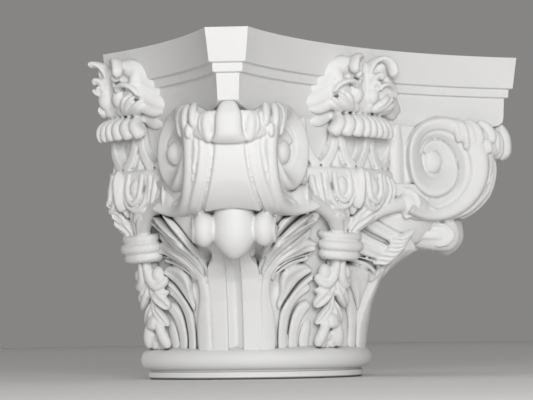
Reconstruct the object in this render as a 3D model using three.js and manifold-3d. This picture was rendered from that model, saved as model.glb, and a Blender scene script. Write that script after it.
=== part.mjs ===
// Half capital of the Composite kind: a half-round bell with corner acanthus,
// an echinus of cups, four scroll faces at two corners, and a hollow-sided abacus.
// It is one casting with a flat back that stands against a wall.
// Millimetres, +Z up. The main face looks along -Y and the flat back looks along +Y.
import * as THREE from 'three';
import { mergeVertices } from 'three/addons/utils/BufferGeometryUtils.js';
import Module from 'manifold-3d';

// ---------- driving dimensions ----------
const HEIGHT = 304;           // underside to top
const BACK = 18;              // flat back, behind the axis
const ABACUS_MID = 160.7;     // axis to the middle of a hollow side, at the top edge
const ABACUS_CORNER = 263;    // axis to the cut corner face, along the diagonal
const HOLLOW_RADIUS = 408;    // plan radius of a hollow side
const TORUS_OUT = 120;        // base ring, outermost radius
const TORUS_MID = 18.6;       // height of the fattest part of the base ring
const FILLET_RADIUS = 110.8;  // fillet band under the base ring
const ECHINUS_RADIUS = 150;   // face of the cup ring
const RING_RADIUS = 156;      // plain ring under the cups
const CUP_PITCH = Math.PI / 12;
const EYE_R = 182;            // volute eye: distance along the diagonal
const EYE_Z = 204;            // volute eye: height
const EYE_T = 47;             // volute eye: distance either side of the diagonal
const FACE_LEAN = 14 / 52;    // each volute face closes on the diagonal by this slope
const MATERIAL_COLOUR = '#ecebe8';

const S = Math.SQRT1_2;
const wasm = await Module();
wasm.setup();

// ---------- small helpers ----------
const v = (x, y, z) => new THREE.Vector3(x, y, z);
const lerp = (a, b, t) => a + (b - a) * t;
const clamp01 = (t) => Math.min(1, Math.max(0, t));
const smooth = (a, b, t) => {
  const s = clamp01((t - a) / (b - a));
  return s * s * (3 - 2 * s);
};

// Piecewise-linear value of a table of [key, value] pairs.
function table(rows, key) {
  if (key <= rows[0][0]) return rows[0][1];
  for (let i = 1; i < rows.length; i += 1) {
    const [k0, v0] = rows[i - 1];
    const [k1, v1] = rows[i];
    if (key <= k1) return lerp(v0, v1, (key - k0) / (k1 - k0));
  }
  return rows[rows.length - 1][1];
}

// A closed solid from a stack of rings, each a loop of the same number of points.
function ringSolid(rings) {
  const n = rings[0].length;
  const points = rings.flat();
  const tris = [];
  for (let i = 0; i + 1 < rings.length; i += 1) {
    for (let j = 0; j < n; j += 1) {
      const a = i * n + j;
      const b = i * n + ((j + 1) % n);
      tris.push([a, b, b + n], [a, b + n, a + n]);
    }
  }
  const small = n <= 6;
  for (const [first, reverse] of [[0, true], [(rings.length - 1) * n, false]]) {
    let hub = first;
    if (!small) {
      const mid = v(0, 0, 0);
      for (let j = 0; j < n; j += 1) mid.add(points[first + j]);
      points.push(mid.multiplyScalar(1 / n));
      hub = points.length - 1;
    }
    for (let j = small ? 1 : 0; j < (small ? n - 1 : n); j += 1) {
      const a = first + j;
      const b = first + ((j + 1) % n);
      tris.push(reverse ? [hub, b, a] : [hub, a, b]);
    }
  }
  return { points, tris };
}

function signedVolume({ points, tris }) {
  let sum = 0;
  for (const [a, b, c] of tris) {
    sum += points[a].dot(points[b].clone().cross(points[c]));
  }
  return sum / 6;
}

function toManifold(shape, map) {
  const moved = { points: shape.points.map(map), tris: shape.tris };
  const flip = signedVolume(moved) < 0;
  const vertProperties = new Float32Array(moved.points.length * 3);
  moved.points.forEach((p, i) => p.toArray(vertProperties, i * 3));
  const triVerts = new Uint32Array(
    moved.tris.flatMap(([a, b, c]) => (flip ? [a, c, b] : [a, b, c])),
  );
  return new wasm.Manifold(new wasm.Mesh({ numProp: 3, vertProperties, triVerts }));
}

// A bar along a path: elliptical section, half-widths and half-depths by station.
// The depth points away from the axis of the capital.
function bar(path, half, depth, sides = 4) {
  const n = path.length;
  const rings = path.map((p, i) => {
    const along = path[Math.min(n - 1, i + 1)].clone().sub(path[Math.max(0, i - 1)]);
    along.normalize();
    const out = v(p.x, p.y, 0).normalize();
    out.addScaledVector(along, -out.dot(along));
    if (out.lengthSq() < 0.05) out.set(0, 0, -1).addScaledVector(along, along.z);
    out.normalize();
    const side = along.clone().cross(out);
    const w = Array.isArray(half) ? half[i] : half;
    const d = Array.isArray(depth) ? depth[i] : depth;
    return Array.from({ length: sides }, (_, j) => {
      const a = ((j + 0.5) / sides) * 2 * Math.PI;
      return p.clone().addScaledVector(side, w * Math.cos(a)).addScaledVector(out, d * Math.sin(a));
    });
  });
  return ringSolid(rings);
}

// An egg: centre, then half-sizes along x, y and z; "point" sharpens the lower end.
function egg(centre, size, point = 0, around = 8, up = 4) {
  const rings = [];
  for (let i = 0; i <= up; i += 1) {
    const a = lerp(-0.47, 0.47, i / up) * Math.PI;
    const low = Math.max(0, -Math.sin(a));
    const girth = Math.cos(a) * (1 - point * low);
    rings.push(Array.from({ length: around }, (_, j) => {
      const b = (j / around) * 2 * Math.PI;
      return v(girth * Math.cos(b) * size[0], girth * Math.sin(b) * size[1], Math.sin(a) * size[2]);
    }));
  }
  const solid = ringSolid(rings);
  solid.points.forEach((p) => p.add(centre));
  return solid;
}

// ---------- frames ----------
// Face frame: u across the front face, p out from the axis, z up.
const face = (u, p, z) => v(u, -p, z);
// Angle frame on the round body: angle from the middle of the front face.
const polar = (angle, radius, z) => v(radius * Math.sin(angle), -radius * Math.cos(angle), z);
// Corner frame: r out along the right-hand diagonal, t across it towards the front face.
const corner = (r, t, z) => v(S * (r - t), -S * (r + t), z);

// The quarter from mid-front to the right-hand diagonal, laid out on every side.
const QUARTERS = [
  (p) => v(p.x, p.y, p.z),
  (p) => v(-p.x, p.y, p.z),
  (p) => v(-p.y, -p.x, p.z),
  (p) => v(p.y, -p.x, p.z),
];
const REAR_QUARTERS = [(p) => v(-p.y, p.x, p.z), (p) => v(p.y, p.x, p.z)];
const FACES = [QUARTERS[0], QUARTERS[2], QUARTERS[3]];
const CORNERS = [QUARTERS[0], QUARTERS[1]];

let body = null;
function place(shapes, maps) {
  for (const shape of shapes) {
    for (const map of maps) {
      const solid = toManifold(shape, map);
      body = body ? body.add(solid) : solid;
    }
  }
}

// ---------- abacus and the block behind the volutes ----------
// Plan outline with four hollow sides, taken in by "inset" and with its corners at "reach".
function hollowRing(inset, reach, z, steps = 5) {
  const radius = HOLLOW_RADIUS + inset;
  const centre = ABACUS_MID + HOLLOW_RADIUS;
  const point = (b) => [radius * Math.sin(b), centre - radius * Math.cos(b)];
  let low = 0;
  let high = 0.6;
  for (let i = 0; i < 40; i += 1) {
    const b = (low + high) / 2;
    const [x, p] = point(b);
    if (S * (x + p) < reach) low = b;
    else high = b;
  }
  const side = [];
  for (let i = 0; i <= steps; i += 1) side.push(point(lerp(-low, low, i / steps)));
  const ring = [];
  for (let k = 0; k < 4; k += 1) {
    const turn = (k * Math.PI) / 2;
    for (const [x, p] of side) {
      ring.push(v(x * Math.cos(turn) + p * Math.sin(turn), x * Math.sin(turn) - p * Math.cos(turn), z));
    }
  }
  return ring;
}

// height, inset of the sides, reach of the corners
const ABACUS_LEVELS = [
  [HEIGHT, 0, ABACUS_CORNER],
  [275, 4, 259.2],
  [274.2, 8, 255.2],
  [266.6, 8.4, 255],
  [265.6, 12.2, 251.2],
  [245, 13.2, 250.2],
  [237, 15, 230],
  [190, 24, 190],
];
place([ringSolid(ABACUS_LEVELS.map(([z, inset, reach]) => hollowRing(inset, reach, z)))], [QUARTERS[0]]);

// ---------- base ring, bell and corner acanthus ----------
// Radius of the bell between the leaves, by height.
const BELL = [[27, 103], [60, 103.5], [90, 107.5], [115, 115], [140, 126], [160, 138], [178, 148]];
// Radius of the acanthus blade on the diagonal, by height.
const BLADE = [[27, 111], [45, 113], [70, 118], [90, 126], [103, 136], [112, 148], [120, 166],
  [135, 178], [150, 190], [178, 190]];
const BLADE_FROM = 10;
const BLADE_TO = 33;
// Columns of the leaf, in degrees off the diagonal: at the foot, at the top, and how proud it is.
const LEAF_COLUMNS = [
  [0, 0, 0.5], [2.6, 2.2, -2], [4, 3.6, 1.6], [10.6, 9, 1.6], [12, 11, -2],
  [16, 20, 2.8], [19.5, 25.5, -2], [24.5, 33, 2.8], [30, 37, -0.5],
];
const LEAF_TOP = 181;
const LEAF_FOOT = 27;
const LEAF_LEVELS = [LEAF_FOOT, 62, 90, 107, 119, 148, LEAF_TOP];

const radians = (deg) => (deg * Math.PI) / 180;

// Surface radius at an angle from the diagonal, in degrees.
function bodyRadius(fromDiagonal, z) {
  const ground = table(BELL, z);
  const leaf = table(BLADE, z);
  return ground + (leaf - ground) * (1 - smooth(BLADE_FROM, BLADE_TO, Math.abs(fromDiagonal)));
}

// One level of the bell with its ribs and strips, right round the axis.
function leafRing(z) {
  const rise = Math.pow((z - LEAF_FOOT) / (LEAF_TOP - LEAF_FOOT), 1.4);
  const octant = LEAF_COLUMNS.map(([foot, top, proud]) => {
    const a = lerp(foot, top, rise);
    return [a, bodyRadius(a, z) + proud];
  });
  const half = [...octant.slice(1).reverse().map(([a, r]) => [-a, r]), ...octant];
  const ring = [];
  for (let k = 0; k < 4; k += 1) {
    for (const [a, r] of half) ring.push(polar(radians(45 + 90 * k + a), r, z));
    ring.push(polar(radians(90 + 90 * k), table(BELL, z), z));
  }
  return ring;
}

function roundRing(radius, z, count) {
  return Array.from({ length: count }, (_, j) => polar((j / count) * 2 * Math.PI, radius, z));
}

const BASE_SIDES = 32;
const baseRings = [
  [0, FILLET_RADIUS - 2], [1.6, FILLET_RADIUS], [6.8, FILLET_RADIUS], [8, FILLET_RADIUS - 1.6],
];
for (let i = 0; i <= 4; i += 1) {
  const a = lerp(-0.5, 0.42, i / 4) * Math.PI;
  baseRings.push([TORUS_MID + 10 * Math.sin(a), TORUS_OUT - 10 + 10 * Math.cos(a)]);
}
baseRings.push([30, FILLET_RADIUS - 3]);
place([ringSolid(baseRings.map(([z, radius]) => roundRing(radius, z, BASE_SIDES)))], [QUARTERS[0]]);
place([ringSolid(LEAF_LEVELS.map(leafRing))], [QUARTERS[0]]);

// ---------- echinus of cups and the plain ring below ----------
const ECHINUS_SIDES = 24;
const echinusRings = [
  [174, 147], [177, RING_RADIUS], [191, RING_RADIUS], [195, ECHINUS_RADIUS - 7], [242, ECHINUS_RADIUS - 4],
];
place([ringSolid(echinusRings.map(([z, radius]) => roundRing(radius, z, ECHINUS_SIDES)))], [QUARTERS[0]]);

// One side of a cup: a U of strap, open at the top.
function cupStrap(angle, side) {
  const rows = [[0.6, 195], [3, 204], [5, 217], [5.6, 240]];
  const path = rows.map(([deg, z]) => polar(angle + (side * deg * Math.PI) / 180, ECHINUS_RADIUS - 2, z));
  return bar(path, 4.4, 5.6, 4);
}
const cups = [];
for (const k of [0, 1]) {
  cups.push(cupStrap(k * CUP_PITCH, 1));
  if (k > 0) cups.push(cupStrap(k * CUP_PITCH, -1));
}
place(cups, QUARTERS);
place([cupStrap(0, 1), cupStrap(CUP_PITCH, -1)], REAR_QUARTERS);

// ---------- corner scrolls ----------
// Outline of the scroll body round the eye: the two faces and the ribbon between them.
const FACE_RADIUS = [
  [-180, 40], [-135, 46], [-90, 56], [-45, 57], [0, 53], [45, 47], [90, 40], [135, 34], [180, 40],
];
const RIBBON_RADIUS = [
  [-180, 40], [-135, 44], [-90, 57], [-60, 62], [-30, 63], [0, 60], [30, 54], [90, 40], [135, 34],
  [180, 40],
];
// share of the half-width, how far the section follows the ribbon, groove depth
const RIBBON_STATIONS = [
  [0.34, 1, 0], [0.4, 1, 2.5], [0.6, 0.9, 0.5], [0.7, 0.75, 3], [0.82, 0.5, 0], [1, 0, 0],
];
const SCROLL_SIDES = 14;
const halfWidthAt = (r) => EYE_T - (r - EYE_R) * FACE_LEAN;

function scrollBody() {
  const stations = [
    ...RIBBON_STATIONS.slice().reverse().map(([s, m, g]) => [-s, m, g]),
    ...RIBBON_STATIONS,
  ];
  const rings = stations.map(([share, mix, groove]) => {
    const ring = [];
    for (let j = 0; j < SCROLL_SIDES; j += 1) {
      const deg = -180 + (j * 360) / SCROLL_SIDES;
      const a = (deg * Math.PI) / 180;
      const radius = lerp(table(FACE_RADIUS, deg), table(RIBBON_RADIUS, deg), mix) - groove;
      const r = EYE_R + radius * Math.cos(a);
      ring.push(corner(r, share * halfWidthAt(r), EYE_Z + radius * Math.sin(a)));
    }
    return ring;
  });
  return ringSolid(rings);
}
place([scrollBody()], CORNERS);

// Spiral rim on a volute face: radii at every quarter turn from the foot inwards.
const RIM_OUTER = [58, 54, 43, 32, 30, 22.5, 18];
const RIM_INNER = [47, 37, 29, 21.5, 18.5, 14.5, 11];
const FACE_TILT = Math.PI / 6;
const EYE_U = S * (EYE_R - EYE_T);
const EYE_P = S * (EYE_R + EYE_T);

// A point on the volute face: s outwards along the face, h up from the eye, lift off the face.
function onVolute(s, h, lift) {
  const bend = s < 0 ? 0.012 * s * s : 0;
  const off = lift + bend;
  return face(
    EYE_U + s * Math.cos(FACE_TILT) - off * Math.sin(FACE_TILT),
    EYE_P + s * Math.sin(FACE_TILT) + off * Math.cos(FACE_TILT),
    EYE_Z + h,
  );
}

function voluteRim() {
  const path = [];
  const half = [];
  const steps = 12;
  const turns = RIM_OUTER.length - 1;
  for (let i = 0; i <= steps; i += 1) {
    const q = (i / steps) * turns;
    const k = Math.min(turns - 1, Math.floor(q));
    const outer = lerp(RIM_OUTER[k], RIM_OUTER[k + 1], q - k);
    const inner = lerp(RIM_INNER[k], RIM_INNER[k + 1], q - k);
    const a = -Math.PI / 2 + (q * Math.PI) / 2;
    const mid = (outer + inner) / 2;
    path.push(onVolute(mid * Math.cos(a), mid * Math.sin(a), 0.5 + 2.5 * (i / steps)));
    half.push(((outer - inner) / 2 + 0.4) * Math.SQRT2);
  }
  return { path, half };
}

function faceBar({ path, half }, depth, sides = 4) {
  const n = path.length;
  const out = v(-Math.sin(FACE_TILT), -Math.cos(FACE_TILT), 0);
  return ringSolid(path.map((p, i) => {
    const along = path[Math.min(n - 1, i + 1)].clone().sub(path[Math.max(0, i - 1)]).normalize();
    const side = along.clone().cross(out).normalize();
    return Array.from({ length: sides }, (_, j) => {
      const a = ((j + 0.5) / sides) * 2 * Math.PI;
      return p.clone().addScaledVector(side, half[i] * Math.cos(a)).addScaledVector(out, depth * Math.sin(a));
    });
  }));
}
const eyeBoss = egg(onVolute(0, 0, 1), [8, 8, 9], 0, 6, 3);
place([faceBar(voluteRim(), 5), eyeBoss], QUARTERS);

// Bud at the foot of each volute, from which the outer band springs.
const bud = bar([face(98, 148, 153), face(80, 152, 158), face(66, 150, 165), face(58, 147, 169)],
  [9, 14, 12, 4], [9, 13, 11, 4]);
place([bud], QUARTERS);

// ---------- acanthus draped over each corner ----------
place([egg(corner(238, 0, 223), [13, 13, 19], 0.1, 8, 4)], CORNERS);
const drapeLobe = bar([corner(228, 22, 240), corner(240, 19, 228), corner(241, 14, 213), corner(238, 10, 206)],
  [7, 12, 9, 3], [6, 9, 8, 3]);
const fold = (s, h, top) => bar(
  [onVolute(s - 20, top, -2), onVolute(s - 4, (top + h) / 2 + 5, 4), onVolute(s + 1, h, 3)],
  [8, 10, 5], [7, 7, 3],
);
place([drapeLobe, fold(31, 12, 42)], QUARTERS);

// ---------- bulbs and bracket under each ribbon ----------
place([egg(corner(187, 0, 134), [18, 18, 27], 0.25, 8, 5)], CORNERS);
place([egg(corner(180, 23, 135), [13, 13, 15], 0, 7, 4)], QUARTERS);
const bracket = bar([corner(140, 0, 122), corner(162, 0, 134), corner(184, 0, 142)], [30, 36, 38], [14, 16, 16]);
place([bracket], CORNERS);

// ---------- curled ends of the acanthus ribs ----------
// Each tip leaves the leaf near the middle of the face and curls out and down.
function leafTip(from, z, width) {
  const at = (shift, rise, lift) => (
    polar(radians(45 - from - shift), bodyRadius(from, z) + lift, z + rise)
  );
  const path = [at(-9, -15, 0), at(-3, -3, 4), at(1.5, 1, 6), at(4, -4, 6)];
  return bar(path, [width, width, width, width * 0.5], [4, 7, 6, 3]);
}
place([
  leafTip(29, 68, 6.5),
  leafTip(28, 92, 7.5),
  leafTip(27, 116, 8),
  leafTip(23, 143, 8.5),
], QUARTERS);

// ---------- ornament down the middle of each face ----------
// Collar of gadroons under the flower.
function gadroon(u) {
  const path = [[0.85, 154, 241], [1, 165, 233], [1.2, 168, 223], [1.2, 158, 216]]
    .map(([k, p, z]) => face(u * k, p - (u * u) / 240, z));
  return bar(path, [3, 5.4, 6, 4], [6, 8, 8, 4]);
}
place([6, 18, 30].map(gadroon), QUARTERS);
place([gadroon(6)], REAR_QUARTERS);
place([bar([face(34, 148, 240), face(46, 153, 234), face(58, 150, 231)], [7, 8, 3], [8, 8, 3])], QUARTERS);

// Flower: central stem, shell curls on both sides, lobes below.
const petal = (rows, half, depth) => bar(rows.map(([u, p, z]) => face(u, p, z)), half, depth);
place([petal([[0, 156, 290], [0, 161, 270], [0, 163, 252], [0, 160, 240]], [16, 10, 10, 13], [6, 8, 9, 7])], FACES);
const curls = [
  petal([[5, 160, 276], [15, 169, 290], [28, 172, 286], [31, 174, 270]], [6, 9, 11, 7], [6, 10, 11, 6]),
  petal([[9, 160, 252], [22, 170, 262], [34, 172, 258], [34, 172, 248]], [7, 10, 9, 5], [7, 10, 10, 6]),
];
place(curls, QUARTERS);
place(curls.slice(0, 1), REAR_QUARTERS);
place([
  petal([[26, 152, 284], [44, 155, 270], [62, 154, 258]], [10, 18, 6], [9, 10, 4]),
  petal([[12, 158, 244], [30, 164, 250], [50, 158, 247]], [7, 11, 4], [7, 11, 5]),
], QUARTERS);

// Second row: eggs in loops either side of a keeled leaf.
const rowEgg = egg(face(20, 150, 174), [8, 8, 12], 0.1, 6, 3);
place([rowEgg], [...QUARTERS, ...REAR_QUARTERS]);
place([
  petal([[9, 149, 184], [9, 150, 168], [20, 150, 159], [31, 148, 168], [31, 146, 184]], 3, 5.5),
], QUARTERS);
place([petal([[0, 149, 186], [0, 151, 172], [0, 146, 157], [0, 142, 146]], [7, 8, 9, 3], [7, 7, 8, 4])], FACES);

// Stem that runs from the tie up to the bud.
const stemPath = [[8, 124, 122], [20, 133, 145], [38, 141, 160], [60, 147, 165]];
place([petal(stemPath, [6, 9, 10, 8], [8, 10, 10, 7])], QUARTERS);

// Tie of three stacked rolls, as one upright body.
const TIE = [
  [137, 12, 120], [130.5, 19, 125], [125, 16, 122], [120, 19.5, 124], [114.5, 15, 120],
  [109.5, 17.5, 121], [103, 11, 112],
];
place([bar(TIE.map(([z, , p]) => face(0, p, z)), TIE.map(([, half]) => half * 1.12), 19, 6)], FACES);

// Pendant: two berries, pairs of leaves and a bell flower.
place([egg(face(11.5, 116, 96), [8.5, 8.5, 10], 0, 6, 3)], QUARTERS);
const tipLeaf = (z, reach) => petal([[2, 110, z + 16], [9, 114, z + 4], [reach, 110, z - 8]], [5, 8, 3], [8, 9, 4]);
place([tipLeaf(74, 16), tipLeaf(50, 12)], QUARTERS);
place([petal([[0, 106, 106], [0, 110, 84], [0, 107, 58], [0, 104, 34]], [6, 8, 7, 6], [8, 9, 9, 8])], FACES);

// ---------- flat back ----------
function block(x0, x1, y0, y1, z0, z1) {
  const loop4 = (z) => [v(x0, y0, z), v(x1, y0, z), v(x1, y1, z), v(x0, y1, z)];
  return ringSolid([loop4(z0), loop4(z1)]);
}
body = body.subtract(toManifold(block(-400, 400, BACK, 500, -50, HEIGHT + 50), QUARTERS[0]));

// ---------- output ----------
const out = body.getMesh();
const geometry = new THREE.BufferGeometry();
const positions = new Float32Array((out.vertProperties.length / out.numProp) * 3);
for (let i = 0; i < positions.length / 3; i += 1) {
  for (let k = 0; k < 3; k += 1) positions[i * 3 + k] = out.vertProperties[i * out.numProp + k];
}
geometry.setAttribute('position', new THREE.BufferAttribute(positions, 3));
geometry.setIndex(Array.from(out.triVerts));
const capital = new THREE.Mesh(mergeVertices(geometry, 1e-4), new THREE.MeshStandardMaterial({
  color: MATERIAL_COLOUR,
  roughness: 0.6,
}));
capital.name = 'capital';

const group = new THREE.Group();
group.name = 'half_capital';
group.add(capital);
export default group;
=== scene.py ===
"""A white cast half capital: bell with corner acanthus, cups, scrolls and hollow-sided abacus."""

import math

import bpy
import numpy as np
from mathutils import Matrix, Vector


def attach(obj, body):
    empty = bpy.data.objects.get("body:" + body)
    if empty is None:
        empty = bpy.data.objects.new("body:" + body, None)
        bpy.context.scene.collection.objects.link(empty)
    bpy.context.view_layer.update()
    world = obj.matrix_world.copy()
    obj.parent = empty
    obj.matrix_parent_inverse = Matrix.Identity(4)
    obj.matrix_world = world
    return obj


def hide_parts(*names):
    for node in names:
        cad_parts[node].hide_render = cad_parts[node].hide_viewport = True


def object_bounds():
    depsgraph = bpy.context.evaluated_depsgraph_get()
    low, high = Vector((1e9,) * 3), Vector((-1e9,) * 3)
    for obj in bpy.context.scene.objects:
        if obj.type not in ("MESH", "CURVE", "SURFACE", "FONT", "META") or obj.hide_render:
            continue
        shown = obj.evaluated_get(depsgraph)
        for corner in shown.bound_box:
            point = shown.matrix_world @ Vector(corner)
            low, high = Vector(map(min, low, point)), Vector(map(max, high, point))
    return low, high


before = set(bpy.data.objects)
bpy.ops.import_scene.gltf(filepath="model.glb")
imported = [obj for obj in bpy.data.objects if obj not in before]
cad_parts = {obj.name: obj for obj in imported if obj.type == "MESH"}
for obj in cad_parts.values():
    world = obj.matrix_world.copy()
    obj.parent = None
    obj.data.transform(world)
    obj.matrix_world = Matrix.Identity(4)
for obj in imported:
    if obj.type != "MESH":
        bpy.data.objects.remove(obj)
cad_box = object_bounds()

HEIGHT = 304.0                                   # the capital's height, in the units used below
MM = (cad_box[1][2] - cad_box[0][2]) / HEIGHT    # one of those units, in metres
BACK = cad_box[1][1] / MM                        # the flat back that stands against the wall

# ---------- camera ----------
VIEW_AZIMUTH = -41.64     # degrees round from the main face
VIEW_DISTANCE = 2048.5
VIEW_HEIGHT = 40.2
VIEW_TILT = 3.367
VIEW_ROLL = -0.6935
LENS = 142.17
SHIFT = (0.0375, 0.0222)
FILM_WIDTH = 36


def place_camera():
    """Sight line towards the capital's axis, tilted up, then rolled about itself."""
    azimuth, tilt, roll = (math.radians(a) for a in (VIEW_AZIMUTH, VIEW_TILT, VIEW_ROLL))
    ahead = np.array([-math.sin(azimuth) * math.cos(tilt), math.cos(azimuth) * math.cos(tilt),
                      math.sin(tilt)])
    right = np.array([math.cos(azimuth), math.sin(azimuth), 0.0])
    up = np.cross(right, ahead)
    across = right * math.cos(roll) + up * math.sin(roll)
    upward = up * math.cos(roll) - right * math.sin(roll)
    eye = np.array([math.sin(azimuth) * VIEW_DISTANCE, -math.cos(azimuth) * VIEW_DISTANCE, VIEW_HEIGHT]) * MM
    data = bpy.data.cameras.new("camera")
    data.lens = LENS
    data.sensor_width = FILM_WIDTH
    data.shift_x, data.shift_y = SHIFT
    camera = bpy.data.objects.new("camera", data)
    camera.matrix_world = Matrix([[across[i], upward[i], -ahead[i], eye[i]] for i in range(3)] + [[0, 0, 0,
                                                                                                   1]])
    bpy.context.scene.collection.objects.link(camera)
    bpy.context.scene.camera = camera
    return ahead, across, upward


ahead, across, upward = place_camera()

# ---------- frames ----------
S = math.sqrt(0.5)


def face(u, p, z):
    """Across the main face, out from the axis, up."""
    u, p, z = np.broadcast_arrays(u, p, z)
    return np.stack([u, -p, z], axis=-1).astype(float)


def corner(r, t, z):
    """Out along the right-hand diagonal, across it towards the main face, up."""
    r, t, z = np.broadcast_arrays(r, t, z)
    return np.stack([S * (r - t), -S * (r + t), z], axis=-1).astype(float)


def polar(degrees, radius, z):
    """Angle round the axis from the middle of the main face, distance from the axis, up."""
    a = np.radians(degrees)
    a, radius, z = np.broadcast_arrays(a, radius, z)
    return np.stack([radius * np.sin(a), -radius * np.cos(a), z], axis=-1)


def faces(*rows):
    """Rows of u, p, z and any further columns, with the place turned into x, y, z."""
    rows = np.array(rows, float)
    return np.concatenate([face(rows[:, 0], rows[:, 1], rows[:, 2]), rows[:, 3:]], axis=1)


# directions in the quarter: out along its diagonal, and across it towards the main face
OUTWARD = (S, -S, 0)
ACROSS = (-S, -S, 0)
UPWARD = (0, 0, 1)


def corners(*rows):
    """Rows of r, t, z and any further columns, with the place turned into x, y, z."""
    rows = np.array(rows, float)
    return np.concatenate([corner(rows[:, 0], rows[:, 1], rows[:, 2]), rows[:, 3:]], axis=1)


# A quarter runs from the middle of the main face to the right-hand diagonal.
# Each layout is a linear map of it onto another part of the capital.
RIGHT = np.array([[1, 0, 0], [0, 1, 0], [0, 0, 1]], float)
LEFT = np.array([[-1, 0, 0], [0, 1, 0], [0, 0, 1]], float)
RIGHT_SIDE = np.array([[0, -1, 0], [-1, 0, 0], [0, 0, 1]], float)
LEFT_SIDE = np.array([[0, 1, 0], [-1, 0, 0], [0, 0, 1]], float)
RIGHT_WALL = np.array([[0, -1, 0], [1, 0, 0], [0, 0, 1]], float)
LEFT_WALL = np.array([[0, 1, 0], [1, 0, 0], [0, 0, 1]], float)


# ---------- surfaces ----------
def unit(a):
    """Each vector divided by its own length."""
    return a / np.maximum(np.linalg.norm(a, axis=-1, keepdims=True), 1e-9)


GATHER = 0.5      # 0 spaces the stations of a line evenly, 1 gathers them fully towards its ends


def cubic_weights(t):
    """Shares of the start, the start's slope, the end and the end's slope, at t between 0 and 1."""
    return 2 * t**3 - 3 * t**2 + 1, t**3 - 2 * t**2 + t, 3 * t**2 - 2 * t**3, t**3 - t**2


def through(rows, count, columns=3):
    """Smooth line through the rows: cubic pieces whose slopes come from the neighbours.
    The stations are gathered towards both ends."""
    rows = np.asarray(rows, float)
    knot = np.concatenate([[0], np.cumsum(np.linalg.norm(np.diff(rows[:, :columns], axis=0), axis=1))])
    slope = np.gradient(rows, knot, axis=0)
    even = np.linspace(0, 1, count)
    share = GATHER * (0.5 - 0.5 * np.cos(np.pi * even)) + (1 - GATHER) * even
    s = share * knot[-1]
    i = np.clip(np.searchsorted(knot, s, side="right") - 1, 0, len(knot) - 2)
    h = (knot[i + 1] - knot[i])[:, None]
    t = (s[:, None] - knot[i][:, None]) / h
    start, leave, end, arrive = cubic_weights(t)
    line = start * rows[i] + leave * h * slope[i] + end * rows[i + 1] + arrive * h * slope[i + 1]
    return line, s, knot[-1]


def rounding(s, length, ends):
    """Quarter-ellipse fall to nothing over the given length at each end of a line."""
    start, stop = ends
    share = np.ones_like(s)
    if start:
        share = share * np.sqrt(np.clip(1 - (1 - np.clip(s / start, 0, 1))**2, 0.0004, 1))
    if stop:
        share = share * np.sqrt(np.clip(1 - (1 - np.clip((length - s) / stop, 0, 1))**2, 0.0004, 1))
    return share


def skin(rings):
    """Closed skin over a stack of rings: quads split in two, and a fan at each end."""
    n, m = rings.shape[:2]
    points = np.concatenate([rings.reshape(-1, 3), rings[:1].mean(axis=1), rings[-1:].mean(axis=1)])
    i, j = np.meshgrid(np.arange(n - 1), np.arange(m), indexing="ij")
    k = (j + 1) % m
    a, b, c, d = i * m + j, i * m + k, (i + 1) * m + k, (i + 1) * m + j
    j = np.arange(m)
    k = (j + 1) % m
    last = (n - 1) * m
    tris = np.concatenate([
        np.stack([a, b, c], axis=-1).reshape(-1, 3),
        np.stack([a, c, d], axis=-1).reshape(-1, 3),
        np.stack([np.full(m, n * m), k, j], axis=-1),
        np.stack([np.full(m, n * m + 1), last + j, last + k], axis=-1),
    ])
    return points, tris


def outline(around=20, square=2.0, groove=0.0, keel=0.0, spread=0.35):
    """Cross-section: a super-ellipse of that squareness, hollowed or keeled down its outer side."""
    angle = 2 * np.pi * (np.arange(around) + 0.5) / around
    c, s = np.cos(angle), np.sin(angle)
    x = np.sign(c) * np.abs(c)**(2 / square)
    y = np.sign(s) * np.abs(s)**(2 / square)
    return x, y + (keel - groove) * np.exp(-(x / spread)**2) * (s > 0)


ROUND = outline()
STRAP = outline(24, square=5)
SOFT_STRAP = outline(24, square=3)
SCOOP = outline(28, square=2.6, groove=0.55, spread=0.5)
KEEL = outline(28, square=2.2, keel=0.35, spread=0.3)


def sweep(rows, section=ROUND, out=None, count=44, ends=(0, 4)):
    """Section carried along the line through the rows (x, y, z, half-width, half-depth).
    Its depth points away from the axis, or along "out"; it closes in a rounding at its ends."""
    line, s, length = through(rows, count)
    path = line[:, :3]
    along = unit(np.gradient(path, axis=0))
    away = unit(path * [1, 1, 0]) if out is None else np.broadcast_to(unit(np.array(out, float)), path.shape)
    away = unit(away - along * np.sum(away * along, axis=1, keepdims=True))
    side = np.cross(along, away)
    share = rounding(s, length, ends)
    x, y = section
    half = (line[:, 3] * share)[:, None, None]
    depth = (line[:, 4] * share)[:, None, None]
    return skin(path[:, None] + side[:, None] * half * x[None, :, None] + away[:, None] * depth * y[None, :,
                                                                                                    None])


def egg(centre, size, point=0.0, around=28, up=20):
    """Ellipsoid about a centre, in x, y and z half-sizes; "point" draws in its lower end."""
    a = np.linspace(-0.498, 0.498, up) * np.pi
    b = 2 * np.pi * np.arange(around) / around
    low = np.maximum(0, -np.sin(a))
    girth = np.cos(a) * (1 - point * low)
    rise = np.sin(a)
    rings = np.stack([girth[:, None] * np.cos(b) * size[0], girth[:, None] * np.sin(b) * size[1],
                      np.broadcast_to(rise[:, None] * size[2], (up, around))], axis=-1)
    return skin(rings + np.asarray(centre, float))


def turning(degrees):
    """Linear map that turns about the upright axis."""
    a = math.radians(degrees)
    return np.array([[math.cos(a), -math.sin(a), 0], [math.sin(a), math.cos(a), 0], [0, 0, 1]])


def turned(shape, centre, degrees):
    """The shape turned about an upright line through the centre."""
    points, tris = shape
    return (points - centre) @ turning(degrees).T + centre, tris


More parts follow.
